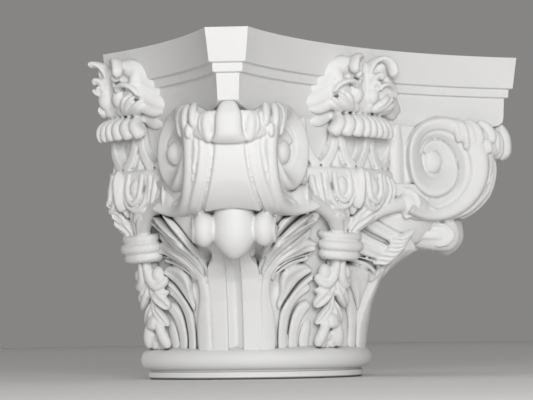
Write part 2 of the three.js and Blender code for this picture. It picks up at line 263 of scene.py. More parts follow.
def ribbon(low, high, place, lift, crown=2.4, count=56, across=18, sink=7.0, ends=(0, 5), dip=0.0):
    """Raised strip between two edge lines drawn on a surface: its height is the lift along it,
    times a super-elliptic crown across it, less a hollow down its middle."""
    one, two = through(low, count, columns=2)[0], through(high, count, columns=2)[0]
    q = -np.cos(np.pi * np.arange(across + 1) / across)
    lift = np.interp(np.linspace(0, 1, count), np.linspace(0, 1, len(np.atleast_1d(lift))),
                     np.atleast_1d(lift))
    world = place(one[:, 0], one[:, 1], 0.0)
    run = np.concatenate([[0], np.cumsum(np.linalg.norm(np.diff(world, axis=0), axis=1))])
    share = rounding(run, run[-1], ends)
    crown_line = (1 - np.abs(q)**crown)**(1 / crown) - dip * np.exp(-(q / 0.45)**2)
    height = (lift * share)[:, None] * crown_line
    narrow = 0.5 + 0.5 * q * share[:, None]**0.6
    a = one[:, :1] + (two[:, :1] - one[:, :1]) * narrow
    z = one[:, 1:2] + (two[:, 1:2] - one[:, 1:2]) * narrow
    outer = place(a, z, height)
    back = [across * 3 // 4, across // 2, across // 4]
    inner = place(a[:, back], z[:, back], -sink)
    edges = place(a[:, [-1, 0]], z[:, [-1, 0]], -sink)
    return skin(np.concatenate([outer, edges[:, :1], inner, edges[:, 1:]], axis=1))


def joined(shapes, layouts):
    """The shapes laid out by each linear map, as one set of points and outward triangles."""
    all_points, all_tris, base = [], [], 0
    for points, tris in shapes:
        for layout in layouts:
            moved = points @ layout.T
            a, b, c = moved[tris[:, 0]], moved[tris[:, 1]], moved[tris[:, 2]]
            volume = np.einsum("ij,ij->i", a, np.cross(b, c)).sum()
            all_points.append(moved)
            all_tris.append((tris if volume > 0 else tris[:, ::-1]) + base)
            base += len(points)
    return np.concatenate(all_points), np.concatenate(all_tris)


def to_object(name, points, tris):
    """A mesh object at the origin, with the points scaled into metres."""
    mesh = bpy.data.meshes.new(name)
    mesh.vertices.add(len(points))
    mesh.vertices.foreach_set("co", (points * MM).astype(np.float32).ravel())
    mesh.loops.add(len(tris) * 3)
    mesh.loops.foreach_set("vertex_index", tris.astype(np.int32).ravel())
    mesh.polygons.add(len(tris))
    mesh.polygons.foreach_set("loop_start", np.arange(0, len(tris) * 3, 3, dtype=np.int32))
    mesh.update(calc_edges=True)
    mesh.validate()
    piece = bpy.data.objects.new(name, mesh)
    bpy.context.scene.collection.objects.link(piece)
    return piece


def keep_modifiers(piece):
    """Swaps the piece's mesh for the one its modifiers make."""
    graph = bpy.context.evaluated_depsgraph_get()
    mesh = bpy.data.meshes.new_from_object(piece.evaluated_get(graph))
    old = piece.data
    piece.modifiers.clear()
    piece.data = mesh
    bpy.data.meshes.remove(old)


def wall_block():
    """Box behind the flat back, used to cut pieces off there."""
    low = np.array([-300.0, BACK, -50.0])
    high = np.array([300.0, BACK + 400, 400.0])
    ring = np.array([[0, 0], [1, 0], [1, 1], [0, 1]], float)
    rings = np.stack([np.concatenate([ring, np.full((4, 1), k)], axis=1) for k in (0.0, 1.0)])
    return to_object("wall_block", *joined([skin(low + rings * (high - low))], [RIGHT]))


def cut_back(piece, block, inside=0.0):
    """Cuts the piece off flat at the wall, or a little inside it where pieces overlap there."""
    block.location.y = -inside * MM
    cut = piece.modifiers.new("back", "BOOLEAN")
    cut.operation = "DIFFERENCE"
    cut.object = block
    cut.solver = "MANIFOLD"
    keep_modifiers(piece)


# For each kind of carved piece: the grain it is melted on, the most triangles it keeps, and how
# far inside the flat back it stops, so that no two overlapping pieces share a face there.
CARVED = {
    "echinus": (1.05, 105000, 0.6),
    "acanthus": (0.95, 120000, 0.9),
    "scroll": (1.1, 110000, 1.2),
    "ornament": (1.0, 90000, 1.5),
}
BELL_INSIDE = 0.3


def carve(name, kind, shapes, block):
    """Melts overlapping closed shapes into one skin, eases it, thins its triangles down to the
    most that its kind keeps, and cuts it at the back."""
    grain, most, inside = CARVED[kind]
    piece = to_object(name, *shapes)
    melt = piece.modifiers.new("melt", "REMESH")
    melt.mode = "VOXEL"
    melt.voxel_size = grain * MM
    melt.use_smooth_shade = True
    soft = piece.modifiers.new("ease", "SMOOTH")
    soft.factor = 0.5
    soft.iterations = 1
    keep_modifiers(piece)
    triangles = sum(len(face.vertices) - 2 for face in piece.data.polygons)
    thin = piece.modifiers.new("thin", "DECIMATE")
    thin.ratio = min(1.0, most / triangles)
    keep_modifiers(piece)
    cut_back(piece, block, inside)
    return piece


def gather(*groups):
    """Points and triangles of several groups as one."""
    base = np.cumsum([0] + [len(g[0]) for g in groups[:-1]])
    return np.concatenate([g[0] for g in groups]), np.concatenate([g[1] + b for g, b in zip(groups, base)])


# ---------- abacus ----------
ABACUS_MID = 160.7      # axis to the middle of a hollow side, at the top edge
ABACUS_CORNER = 263.0   # axis to the cut corner, along the diagonal
HOLLOW_RADIUS = 408.0   # plan radius of a hollow side
# height, inset of the sides, reach of the corners
ABACUS_LEVELS = np.array([[HEIGHT, 0, ABACUS_CORNER], [275.3, 4, 259.2], [274.6, 4.6, 258.6],
                    [274.2, 7.6, 255.6], [273.6, 8, 255.2], [267, 8.3, 254.9], [266.3, 8.9, 254.3],
                    [266, 11.8, 251.4], [265.2, 12.3, 250.9], [248, 13.2, 250.2], [243, 13.6, 249.4],
                    [240, 14.4, 246], [238, 15.4, 238], [236, 17, 226], [190, 24, 190], ])


def hollow_rings(levels, steps=48):
    """Four arcs of one plan radius about points on the face axes, each stopped where it meets
    the straight corner cut, for every height, inset and reach."""
    inset, reach = levels[:, 1:2], levels[:, 2:3]
    radius = HOLLOW_RADIUS + inset
    centre = ABACUS_MID + HOLLOW_RADIUS
    # x + p = reach / S, with x = radius sin b and p = centre - radius cos b
    swing = np.arcsin((reach / S - centre) / (radius * math.sqrt(2))) + math.pi / 4
    b = swing * np.linspace(-1, 1, steps + 1)
    x, p = radius * np.sin(b), centre - radius * np.cos(b)
    z = np.broadcast_to(levels[:, :1], x.shape)
    sides = [face(x, p, z), face(x, p, z) @ np.array([[0, -1, 0], [1, 0, 0], [0, 0, 1]], float).T]
    sides += [s * [-1, -1, 1] for s in sides]
    order = [sides[0], sides[3], sides[2], sides[1]]
    return np.concatenate(order, axis=1)


def ring_order(rings):
    """Rings sorted by angle round the axis, so that each is one simple loop."""
    angle = np.arctan2(rings[0, :, 1], rings[0, :, 0])
    return rings[:, np.argsort(angle)]


# ---------- base ring, bell and echinus: profiles turned about the axis ----------
def lathe(profile, count=360):
    """Profile of height and radius carried round the axis."""
    profile = np.asarray(profile, float)
    a = 360 * np.arange(count) / count
    return skin(polar(a[None, :], profile[:, 1:2], profile[:, :1]))


def smooth_step(a, b, t):
    """0 at a, 1 at b, and a cubic that is level at both in between."""
    s = np.clip((t - a) / (b - a), 0, 1)
    return s * s * (3 - 2 * s)


torus = np.linspace(-0.5, 0.42, 17) * np.pi
BASE = np.concatenate([
    [[0, 107.8], [0.3, 108.6], [1.6, 110.4], [2.2, 110.8], [6.4, 110.8], [6.9, 110.4], [7.2, 109.3],
     [8.4, 109.2]],
    np.stack([18.6 + 9.6 * np.sin(torus), 109.6 + 10.4 * np.cos(torus)], axis=1),
    [[29, 108], [31, 100]],
])
BELL = np.array([[27, 103], [60, 103.5], [90, 107.5], [115, 115], [140, 126], [160, 138], [178, 148]], float)
BLADE = np.array([[27, 111], [45, 113], [70, 118], [90, 126], [103, 136], [112, 148], [120, 166], [135, 178],
            [150, 190], [178, 190]], float)


def body_radius(off, z):
    """Bell radius, swelling to the acanthus blade within some degrees of the diagonal."""
    z = np.asarray(z, float)
    ground = np.interp(z, BELL[:, 0], BELL[:, 1])
    leaf = np.interp(z, BLADE[:, 0], BLADE[:, 1])
    return ground + (leaf - ground) * (1 - smooth_step(10, 33, np.abs(off)))


def hollows(off, z):
    """Depths cut into the leaf, each a bell curve about its own middle: the drilled eye beside each
    middle strip, the drop between two lobes, and the middle channel, which runs out above."""
    off = np.abs(off)
    lean = off - 8.9 - 0.22 * (z - 113)
    eye = 24 * np.exp(-(lean / 2.7)**4 - ((z - 112) / 11.0)**4)
    drop = 4 * np.exp(-((off - 17.8) / 2.4)**2 - ((z - 83) / 9.0)**2)
    channel = 6.0 * np.exp(-(off / 2.5)**2) * (1 - smooth_step(112, 126, z))
    return eye + drop + channel


def on_leaf(off, z, lift):
    """Degrees off the diagonal towards the main face, height, and lift. The place is taken 8 out
    from the blade, and moved from there along the blade's own normal in the upright plane."""
    off, z, lift = np.asarray(off, float), np.asarray(z, float), np.asarray(lift, float)
    slope = np.clip((body_radius(off, z + 5) - body_radius(off, z - 5)) / 10, -0.5, 1.5)
    size = np.sqrt(1 + slope**2)
    move = lift - 8
    return polar(45 - off, body_radius(off, z) + 8 + move / size, z - move * slope / size)


def leaf_rows(off, z, lift, sizes):
    """Rows of place on the leaf, half-width and half-depth."""
    return np.concatenate([on_leaf(off, z, lift), np.array(sizes)], axis=1)


LEAF_TURN = 2.3      # the left-hand acanthus stands this much off its diagonal, towards the wall


def bell_rings():
    """Radius of the body less its hollows, at every height and half degree round the axis."""
    z = np.linspace(26, 181, 110)[:, None]
    a = (np.arange(720) / 2)[None, :]
    off = (a % 90) - 45 + np.where(a > 270, LEAF_TURN, 0)
    return polar(a, body_radius(off, z) - hollows(off, z), z)


block = wall_block()
white = []
abacus = to_object("abacus", *joined([skin(ring_order(hollow_rings(ABACUS_LEVELS)))], [RIGHT]))
cut_back(abacus, block)
base_ring = to_object("base_ring", *joined([lathe(BASE)], [RIGHT]))
cut_back(base_ring, block)
bell = to_object("bell", *joined([skin(bell_rings())], [RIGHT]))
cut_back(bell, block, BELL_INSIDE)
white += [abacus, base_ring, bell]

# ---------- cups of the echinus and the plain ring below ----------
CUP_PITCH = 15.0
ECHINUS = [[176, 140], [176.4, 153], [177.4, 155.2], [179, 156], [189.5, 156], [191.6, 155.4], [193, 153.5],
           [194, 148], [196, 144], [205, 143], [243, 143]]


def cup(angle):
    """U of strap round a sunk egg, standing on the ring at the given angle."""
    arm = np.array([[0.7, 194.0, 4.6], [2.4, 197.6, 4.5], [4.1, 203.6, 4.2], [5.2, 209, 4.1], [5.9, 216, 3.8],
                    [6.2, 226, 3.6], [6.3, 242, 3.6]])
    pieces = []
    for side in (-1, 1):
        place = polar(angle + side * arm[:, 0], 147.0, arm[:, 1])
        rows = np.concatenate([place, arm[:, 2:], np.full((len(arm), 1), 6.6)], axis=1)
        pieces.append(sweep(rows, outline(24, square=9), ends=(0, 0), count=30))
    pieces.append(turned(egg((0, -136.4, 222), (12.5, 9.5, 28)), np.zeros(3), angle))
    return pieces


def dart(angle):
    """Small three-sided point between two cups."""
    rows = np.concatenate([polar(angle, [146.0, 145, 144], [194, 203, 214]),
                           [[9.4, 5], [5.6, 4.4], [1.2, 2.6]]], axis=1)
    return [sweep(rows, outline(24, square=2, keel=0.3), ends=(0, 2), count=16)]


cups = []
for k in range(-7, 8):
    cups += cup(k * CUP_PITCH)
for k in range(-7, 7):
    cups += dart((k + 0.5) * CUP_PITCH)
white.append(carve("echinus", "echinus", joined([lathe(ECHINUS, 480)] + cups, [RIGHT]), block))

# ---------- corner acanthus ----------
def beside_diagonal(t, low, high, steps=7):
    """Edge at a fixed distance from the diagonal, as degrees off it at each height."""
    z = np.linspace(low, high, steps)
    r = body_radius(0 * z + 2, z)
    return np.stack([np.degrees(np.arcsin(t / r)), z], axis=1)


FOOT = 25.0
leaf = [
    # flat strip beside the sunk middle channel
    ribbon(beside_diagonal(6.6, FOOT, 122), [[11.2, FOOT], [11.0, 60], [10.7, 84], [10.5, 94], [9.4, 100],
        [7.6, 104], [6.6, 110], [6.8, 122]], on_leaf, 3.6, crown=9, ends=(0, 0)),
    # main rib
    ribbon([[11.7, FOOT], [11.6, 60], [11.2, 80], [12.0, 92], [13.8, 101], [16.5, 111]], [[18.7, FOOT],
        [18.9, 45], [17.8, 60], [15.9, 72], [15.0, 84], [15.8, 94], [18.2, 103]], on_leaf,
        [4.2, 4.6, 5.5, 7.5], crown=5, ends=(0, 6)),
]
LOBES = [
    # lower edge, upper edge, lift from root to tip
    ([[11.6, 92], [14.5, 104], [18, 117], [23, 127], [29.5, 137], [33.5, 143]],
     [[11.2, 97], [12.6, 111], [15.6, 124], [22.4, 137], [27.6, 146], [31, 151]], [6, 9, 12, 14]),
    ([[12.3, 91], [15.4, 101.5], [19.9, 113.2], [26, 121.5], [30.5, 127.2], [33.4, 132.5]],
     [[12.0, 93], [14.9, 104], [18.9, 116], [23.9, 125.6], [29.4, 133.6], [33.2, 138.4]], [5, 8, 10, 11]),
    ([[13.5, 91], [16.2, 100], [20.5, 109.5], [25, 116.0], [29.5, 122.5]],
     [[13.2, 93], [15.6, 102], [20.2, 111.6], [25.4, 119.3], [29.9, 125.8]], [4, 6.5, 8, 9]),
    ([[15.2, 92], [17.5, 103.6], [22, 110.6], [28, 114.6], [33, 117.2], [36.4, 119.6]],
     [[14.6, 96], [17.5, 108], [22, 118], [27, 124], [31.5, 128], [36.2, 126]], [6, 10, 14, 15]),
    ([[15.9, 89], [18.2, 100.5], [21.7, 106.4], [26.7, 111], [31.5, 113.3], [35.4, 115.6]],
     [[15.6, 91], [17.8, 102.2], [22, 109.2], [28, 113.2], [33, 115.6], [36.2, 117.6]], [5, 8.5, 11, 12]),
    ([[16.4, 87], [18.8, 96], [23.2, 101.8], [28.3, 106.2], [32.6, 108.4], [34.6, 110.6]],
     [[16.2, 89], [18.5, 98.8], [22.7, 105.2], [27.6, 109.8], [31.5, 111.8], [34.9, 113.8]], [4, 7, 9, 10]),
    ([[20.2, 62], [22.4, 70], [25.6, 79], [30.3, 89.6], [34.6, 96.4], [37.5, 100.6]],
     [[19.3, 67], [20.5, 78], [20.0, 90], [21.5, 98.3], [26.5, 104], [33.2, 106.4]], [3.5, 7, 11, 13]),
    ([[23.3, 60], [25.8, 69.2], [29.4, 78.5], [33.0, 84.8], [36.6, 90.6], [38.4, 94]],
     [[22.4, 62], [24.8, 72], [28.2, 81.4], [32.0, 89], [35.6, 94.8], [38.0, 98.4]], [3.5, 7, 10, 11]),
]
for low, high, lift in LOBES:
    leaf.append(ribbon(low, high, on_leaf, lift, crown=3.4, ends=(0, 5), dip=0.14))
leaf += [
    ribbon([[25.0, FOOT], [25.2, 46], [27.0, 61], [30.6, 72], [34.7, 78.6], [38.0, 83]], [[20.1, FOOT],
        [20.5, 50], [22.2, 65], [26.3, 76], [31.0, 84], [36.8, 89]], on_leaf, [3.8, 4.2, 6.5, 9], crown=4,
        ends=(0, 5)),
    ribbon([[31.2, FOOT], [31.8, 44], [34, 56], [36.6, 63], [38.8, 67.5]], [[26.0, FOOT], [26.3, 46],
        [28.4, 60], [31.9, 69], [36, 74]], on_leaf, [3.6, 4.2, 6.5, 9], crown=3.8, ends=(0, 5)),
    ribbon([[38.5, FOOT], [38.8, 34], [39.6, 44], [40.6, 50]], [[32.3, FOOT], [32.9, 41], [35.4, 52],
        [38.2, 58.5]], on_leaf, [1.8, 2.2, 3, 3.5], crown=2.4, ends=(0, 8)),
]
# blunt fold of the leaf's upper edge, turned up beside the bulbs
off, z, lift, half = 31, 151, 9, 4.2
leaf.append(sweep(leaf_rows([off + 1.2, off + 0.4, off - 1.2], [z - 4, z, z + 4], [lift - 3, lift, lift - 1],
                            [[half * 0.6, 4], [half, 5.5], [half * 0.8, 5]]), SOFT_STRAP, ends=(3, 4)))
# edge of the main rib beside the drilled eye
leaf.append(ribbon([[11.6, 84], [11.5, 94], [12.2, 104], [14.2, 115], [17.5, 127]],
                   [[14, 84], [15.2, 96], [17, 106], [19.5, 115], [22.5, 124]], on_leaf, [3.6, 5, 6, 6],
                   crown=5, ends=(6, 6)))
# ribs running up over the eyes towards the left-hand scroll
climbing = []
for line, half in (([[11.4, 108, 2], [13.2, 124, 4], [16, 137, 5], [20, 149, 5]], 3.4),
                   ([[14.5, 118, 4], [18.5, 131, 7], [24.0, 143, 9], [29, 151, 9]], 3.2),
                   ([[17.5, 122, 4], [22, 133, 8], [27.5, 141, 10], [33, 147, 10]], 2.8)):
    sizes = np.array([[0.5, 4], [0.9, 5], [1.0, 5.6], [0.6, 4]]) * [half, 1]
    climbing.append(sweep(leaf_rows(*np.array(line).T, sizes), KEEL, ends=(3, 5)))
# feather of slender leaflets on the right-hand acanthus, each lying up the slope
feather = []
for k in range(7):
    z = 107.0 + 3.9 * k
    feather.append(sweep(leaf_rows([22.8, 21.4, 19.6], [z, z + 4.0, z + 10.5], [8, 12, 11.5],
                                   [[1.4, 3], [2.0, 4.0], [0.9, 2.4]]), KEEL, ends=(2, 6)))

# ---------- corner scrolls ----------
EYE_R, EYE_Z, EYE_T = 182.0, 204.0, 47.0
LEAN = 14 / 52
FACE_TILT = math.pi / 6
EYE_U, EYE_P = S * (EYE_R - EYE_T), S * (EYE_R + EYE_T)
FACE_RADIUS = np.array([[-180, 29], [-150, 40], [-120, 50], [-97, 55.5], [-84, 56.2], [-68, 58.3],
                  [-55, 59.6], [-35, 58.8], [-17, 54.4], [0, 52], [20, 50.6], [45, 47], [70, 42.5], [90, 40],
                  [110, 37], [135, 32], [160, 29], [180, 29]], float)
PANEL_RADIUS = np.array([[-180, 29], [-135, 36], [-90, 42], [-70, 45], [-66.5, 50], [-65, 58], [-63.5, 60.3],
                   [-60, 61.3], [-30, 63], [-5, 61], [10, 58], [30, 52], [60, 46], [90, 40], [135, 32],
                   [160, 29], [180, 29]], float)
SIDE_RADIUS = np.array([[-180, 29], [-150, 38], [-120, 49], [-97, 55.5], [-80, 58], [-60, 60.6], [-30, 61.2],
                  [0, 58.6], [30, 52], [60, 46], [90, 40], [135, 32], [160, 29], [180, 29]], float)


def half_width(r):
    """Half the scroll's width at a distance out along the diagonal: it narrows evenly outwards."""
    return EYE_T - (r - EYE_R) * LEAN


def scroll_rings():
    """Radius round the eye's axis by angle, blended across the scroll from the middle panel
    through grooved side bands to the two faces."""
    share = np.concatenate([np.linspace(-1, -0.38, 72), np.linspace(-0.35, 0.35, 15),
                            np.linspace(0.38, 1, 72)])
    degrees = np.linspace(-180, 180, 241)[:-1]
    face_r = np.interp(degrees, FACE_RADIUS[:, 0], FACE_RADIUS[:, 1])
    side_r = np.interp(degrees, SIDE_RADIUS[:, 0], SIDE_RADIUS[:, 1])
    a = np.radians(degrees)[None, :]
    s = np.abs(share)[:, None]
    # the foot of the middle panel is a shallow arch
    panel_r = np.interp(degrees[None, :] - 2.5 + 6 * (s / 0.62)**2, PANEL_RADIUS[:, 0], PANEL_RADIUS[:, 1])
    # the middle panel widens as it comes down, and the outer fillet runs off into the volute
    fall = smooth_step(5, -58, degrees)[None, :]
    edge = 0.42 + 0.20 * fall
    fillet = 0.875 + 0.13 * smooth_step(0, -48, degrees)[None, :]
    body = face_r[None] + (side_r - face_r)[None] * smooth_step(1.0, 0.86, s)
    radius = body + (panel_r - body) * smooth_step(0.012, -0.012, s - edge)
    across_strip = np.clip((s - edge) / (fillet - edge), 0, 1)
    radius = radius - 1.2 * np.sin(np.pi * across_strip) * (s > edge) * (panel_r > 44)
    for at, deep, wide in ((edge + 0.03, 5.0, 0.03), (fillet, 5.0, 0.034)):
        radius = radius - deep * np.exp(-((s - at) / wide)**2)
    radius = radius + 1.6 * np.exp(-((s - fillet - 0.075) / 0.045)**2)
    # both ends are dished, so that the eye lies deep
    inward = np.array([0.84, 0.7, 0.5, 0.25])[:, None]
    sunk = np.array([0.96, 0.88, 0.79, 0.76])
    radius = np.concatenate([radius[:1] * inward[::-1], radius, radius[-1:] * inward])
    share = np.concatenate([-sunk[::-1], share, sunk])
    r = EYE_R + radius * np.cos(a)
    return corner(r, share[:, None] * half_width(r), EYE_Z + radius * np.sin(a))


def on_volute(s, h, lift):
    """Across and up the volute face from its eye, and lift off the face. The far side bends
    outward, and so does the foot of the outer band on its way to the bud."""
    s, h = np.asarray(s, float), np.asarray(h, float)
    off = lift + np.where(s < 0, 0.012 * s * s, 0)
    foot = smooth_step(-30, -48, h)
    off = off + 0.0042 * np.maximum(0, 28 - s)**2 * foot - np.where(s < 0, 0.008 * s * s, 0) * foot
    return face(EYE_U + s * math.cos(FACE_TILT) - off * math.sin(FACE_TILT),
                EYE_P + s * math.sin(FACE_TILT) + off * math.cos(FACE_TILT), EYE_Z + h)


# radius of the spiral's two edges at each quarter turn from the foot inwards
SPIRAL_OUTER = np.array([57.5, 53.5, 40, 28, 35, 22.5, 19.5, 12.3, 11.5, 9, 8, 8, 8], float)
SPIRAL_INNER = np.array([46.5, 34.5, 28.5, 15.5, 16.5, 12, 11, 9, 8.5, 8, 8, 8, 8], float)


def spiral_radius(table, q):
    """Cubic pieces between the quarter turns."""
    x = np.arange(len(table))
    slope = np.gradient(table)
    i = np.clip(np.floor(q).astype(int), 0, len(x) - 2)
    start, leave, end, arrive = cubic_weights(q - i)
    return start * table[i] + leave * slope[i] + end * table[i + 1] + arrive * slope[i + 1]


# rise of the band over one turn: 0 to 1 is the rounded band, 1 to 2 the channel inside it
BAND = np.array([[0, -1.4], [0.04, 0.4], [0.1, 1.8], [0.2, 3.0], [0.32, 3.4], [0.48, 3.1], [0.65, 2.4],
           [0.82, 1.5], [0.93, 0.8], [0.98, -0.6], [1.02, -2.2], [1.07, -2.4], [1.13, -1.8], [1.22, -1.6],
           [1.35, -1.5], [1.5, -2.6], [1.7, -3.9], [1.87, -4.8], [1.97, -5.2], [2.06, -5.2]])


def volute_spiral():
    """Band wound in from the foot: at each turn angle its section runs from the outer edge of
    the spiral over its inner edge to the outer edge one turn further in. The inner turns are
    lifted, and the whole is dished towards the eye, more on the side of the corner."""
    q = np.linspace(-0.35, 6.6, 280)
    outer, inner = spiral_radius(SPIRAL_OUTER, q), spiral_radius(SPIRAL_INNER, q)
    after = spiral_radius(SPIRAL_OUTER, q + 4)
    v, rise = BAND[:, 0], BAND[:, 1]
    rho = (outer[:, None] + (inner - outer)[:, None] * np.minimum(v, 1)
           + (after - inner)[:, None] * np.maximum(v - 1, 0))
    a = (-math.pi / 2 + q * math.pi / 2)[:, None]
    base = 0.8 * np.clip(q, 0, 4)[:, None]
    dish = 13.5 * (1 - smooth_step(11, 36, rho)) * (0.62 + 0.38 * np.cos(a))
    scale = np.clip((outer - after)[:, None] / 24, 0.3, 1)
    top = on_volute(rho * np.cos(a), rho * np.sin(a), base + rise * scale + 1.6 - dish)
    under_rho = rho[:, [-1, len(v) // 2, 0]]
    under = on_volute(under_rho * np.cos(a), under_rho * np.sin(a), -17.0)
    return skin(np.concatenate([top, under], axis=1))


VOLUTE_OUT = (-math.sin(FACE_TILT), -math.cos(FACE_TILT), 0)      # square out of the volute face


def fold(points, half, depth):
    """Finger of leaf lying on the volute, through places given across, up and off its face."""
    points = np.array(points, float)
    rows = np.column_stack([on_volute(points[:, 0], points[:, 1], points[:, 2]), half, depth])
    return sweep(rows, out=VOLUTE_OUT, ends=(0, 3))


def on_volute_egg(place, size):
    """Egg set square to the volute face at a place across, up and off it."""
    centre = on_volute(*place)
    return turned(egg(centre, size), centre, -30)


scroll_quarter = [
    volute_spiral(),
    # the eye's boss, and the ground it stands on
    on_volute_egg((-1.0, -1.0, -4.0), (9.4, 7.0, 10.8)),
    on_volute_egg((-7, -1, -11), (15, 8.5, 16)),
    # folded fingers of the draped leaf over the top of the volute
    sweep(corners([224, 31, 241, 3, 4], [232, 31.8, 236, 3.7, 5], [237, 32, 228, 3.6, 5],
        [238, 31.8, 220.5, 2.4, 3.4]), out=OUTWARD, ends=(2, 4)),
    sweep(corners([212, 38, 241, 3.2, 4], [220, 38.8, 236, 4, 5], [225, 39.4, 227, 3.8, 5],
        [226, 39, 218.5, 2.4, 3.4]), out=OUTWARD, ends=(2, 4)),
    sweep(corners([230, 35.6, 224, 2.6, 4], [234, 36, 217, 3.2, 4], [235, 36, 211, 2, 3]), out=OUTWARD,
        ends=(3, 4)),
    fold([[16, 38, -4], [19.6, 34, 0.5], [22.6, 25, 2.4], [24.0, 17, 1.2]], [3.4, 4.0, 3.6, 2.6],
        [6, 6, 5, 3.4]),
    fold([[24, 37, -3], [27.6, 32, 1.5], [30.4, 20, 3.4], [31.4, 10, 2.2]], [3.4, 4.2, 3.8, 2.6],
        [6, 6, 5, 3.4]),
    fold([[31, 35, -3], [34.8, 30, 1.0], [37.4, 21, 2.4], [38.4, 13.5, 1.4]], [3.4, 4.0, 3.6, 2.6],
        [6, 6, 5, 3.4]),
    # side of the draped leaf: smooth shoulder, oval lobe, and the thin rim round it
    sweep(corners([216, 34, 224, 6, 4], [223, 30.5, 224, 8, 6], [230.5, 25.5, 223, 10.6, 7.6],
        [237.5, 19, 221.5, 12.8, 8], [240.5, 10, 221, 13.6, 7], [242, 0, 221, 13.8, 6]), section=STRAP,
        out=OUTWARD, ends=(5, 0)),
    sweep(corners([238, 19.0, 232, 3.0, 5], [241.6, 19.2, 227, 5.2, 6.5], [243, 18.6, 219, 5.8, 7],
        [241.6, 17.6, 211, 4.6, 6], [239.5, 17, 207.5, 3, 4]), ends=(4, 4)),
    sweep(corners([239, 22, 234, 1.3, 3], [242, 25.0, 227, 1.5, 3], [242.5, 25.0, 218, 1.5, 3],
        [243, 21.6, 212, 1.6, 3], [243.5, 16, 209.4, 1.6, 3], [246, 11, 209, 1.4, 3]), ends=(3, 3), count=60),
    # plain ground between the cups and the volute
    sweep(faces([67, 136, 178.5, 15, 10.5], [67, 136, 244, 15, 10.5]), section=SOFT_STRAP, ends=(0, 0),
        count=8),
    # bud at the foot of the outer band, with its calyx ring and the small leaf tips beyond
    sweep(faces([98, 155, 154, 5, 5], [90, 155, 155, 8.5, 8], [78, 153, 159, 12.5, 11.5],
        [68, 150, 164, 11.5, 11], [60, 147, 168, 8, 8]), ends=(5, 3)),
    sweep(faces([62, 149, 175, 1.8, 5], [68.5, 157, 171, 2.0, 5], [71, 160.5, 163, 2.2, 5],
        [68, 157.5, 155, 2.0, 5], [63, 150, 151, 1.8, 5]), ends=(4, 4)),
    sweep(faces([86, 160, 158, 2.2, 3.4], [91, 163, 156, 2.8, 4], [96, 164, 153, 2.0, 3]), ends=(2, 3)),
    sweep(faces([84, 161, 152, 2.2, 3.4], [89, 163, 149.5, 2.8, 4], [93.5, 163, 147, 2.0, 3]), ends=(2, 3)),
    sweep(faces([95, 160, 157, 2.0, 3], [100, 163, 156, 2.6, 3.4], [104, 164, 153.5, 1.8, 3]), ends=(2, 3)),
]
scroll_corner = [
    skin(scroll_rings()),
    # pillow in the middle of the drape, with its small pointed head
    sweep(corners([234, 0, 242, 1.5, 4], [240.5, 0, 240, 4.5, 6], [245.5, 0, 236, 8.6, 7],
        [248.6, 0, 229.5, 11.2, 8], [250, 0, 221, 11.6, 8], [249, 0, 214, 12.6, 8], [246.5, 0, 210.4, 15, 6],
        [243.5, 0, 208, 16, 4]), section=SOFT_STRAP, ends=(3, 2.0)),
]


def shield(centre_r, half, depth, top, bottom):
    """Hanging drop: level above, full sides, closing in a blunt point below."""
    z = top + (bottom - top) * (0.5 - 0.5 * np.cos(np.pi * np.linspace(0.0, 1, 34)))
    d = (top - z) / (top - bottom)
    girth = np.clip(1 - np.clip((d - 0.42) / 0.58, 0, 1)**2.2, 0.0004,
                    1)**0.62 * (0.9 + 0.1 * np.sin(np.pi * d))
    a = 2 * np.pi * np.arange(40) / 40
    out = np.cos(a)
    r = centre_r + np.where(out > 0, depth, 0.55 * depth) * girth[:, None] * out + 2.0 * d[:, None]**2
    t = half * girth[:, None] * np.sin(a)
    return skin(corner(r, t, np.broadcast_to(z[:, None], r.shape)))


scroll_corner += [
    # plain masses under the scroll, behind the bulbs and the drop
    sweep(corners([135, 0, 124, 20, 12], [160, 0, 136, 23, 14], [182, 0, 142, 26, 12]), out=UPWARD,
        ends=(2, 6)),
    sweep(corners([138, 0, 114, 16, 7], [154, 0, 125, 18, 8], [172, 0, 129, 18, 9], [188, 0, 127, 16, 11]),
        out=UPWARD, ends=(2, 6)),
]
scroll_quarter += [
    # side bulb, running back as a bar
    sweep(corners([142, 23, 134, 8, 9], [162, 24.5, 135.5, 9.6, 13], [184, 26.4, 135, 10.6, 16],
        [206, 26.4, 133.5, 9.8, 15]), out=UPWARD, ends=(3, 12), count=70),
    # ear-shaped rim and tongue on the outer side of the bulb
    sweep(corners([164, 33, 142, 1.6, 2.4], [180, 35.4, 144, 1.8, 3], [193, 34.8, 141.5, 1.9, 3],
        [199, 34, 133.5, 1.9, 3], [193, 34.8, 125.5, 1.8, 3], [182, 34.6, 123, 1.4, 2.4]), out=ACROSS,
        ends=(5, 4), count=60),
    sweep(corners([162, 32.6, 133.5, 3.4, 3], [177, 35, 134, 4.6, 3.4], [191, 34.6, 133.6, 4.2, 3]),
        section=SOFT_STRAP, out=ACROSS, ends=(4, 4)),
]

SHIELD_FOOT = {"left": 107.5, "right": 115.0}      # the two castings of the drop differ in length

# ---------- ornament down the middle of each face ----------
def petal(*rows, section=ROUND, ends=(0, 4), count=44):
    """Section carried through rows of place on the face, half-width and half-depth."""
    return sweep(faces(*rows), section, ends=ends, count=count)


def gadroon(low, high):
    """One rounded rib of the collar between two places across its foot, drawn in towards the top."""
    mid, half = (low + high) / 2, (high - low) / 2 * 1.06
    back = mid * mid / 240
    return petal([mid * 0.68, 148, 241.2, half * 0.62, 4], [mid * 0.74, 158 - back / 2, 238, half * 0.74, 5],
                 [mid * 0.86, 164.5 - back * 0.8, 231, half * 0.88, 7.5],
                 [mid * 0.97, 163.5 - back, 225.5, half, 7.5], [mid * 1.0, 161.5 - back, 222, half, 6.5],
                 section=outline(24, square=2.3), ends=(0, 4))


ornament_quarter, ornament_middle = [], []

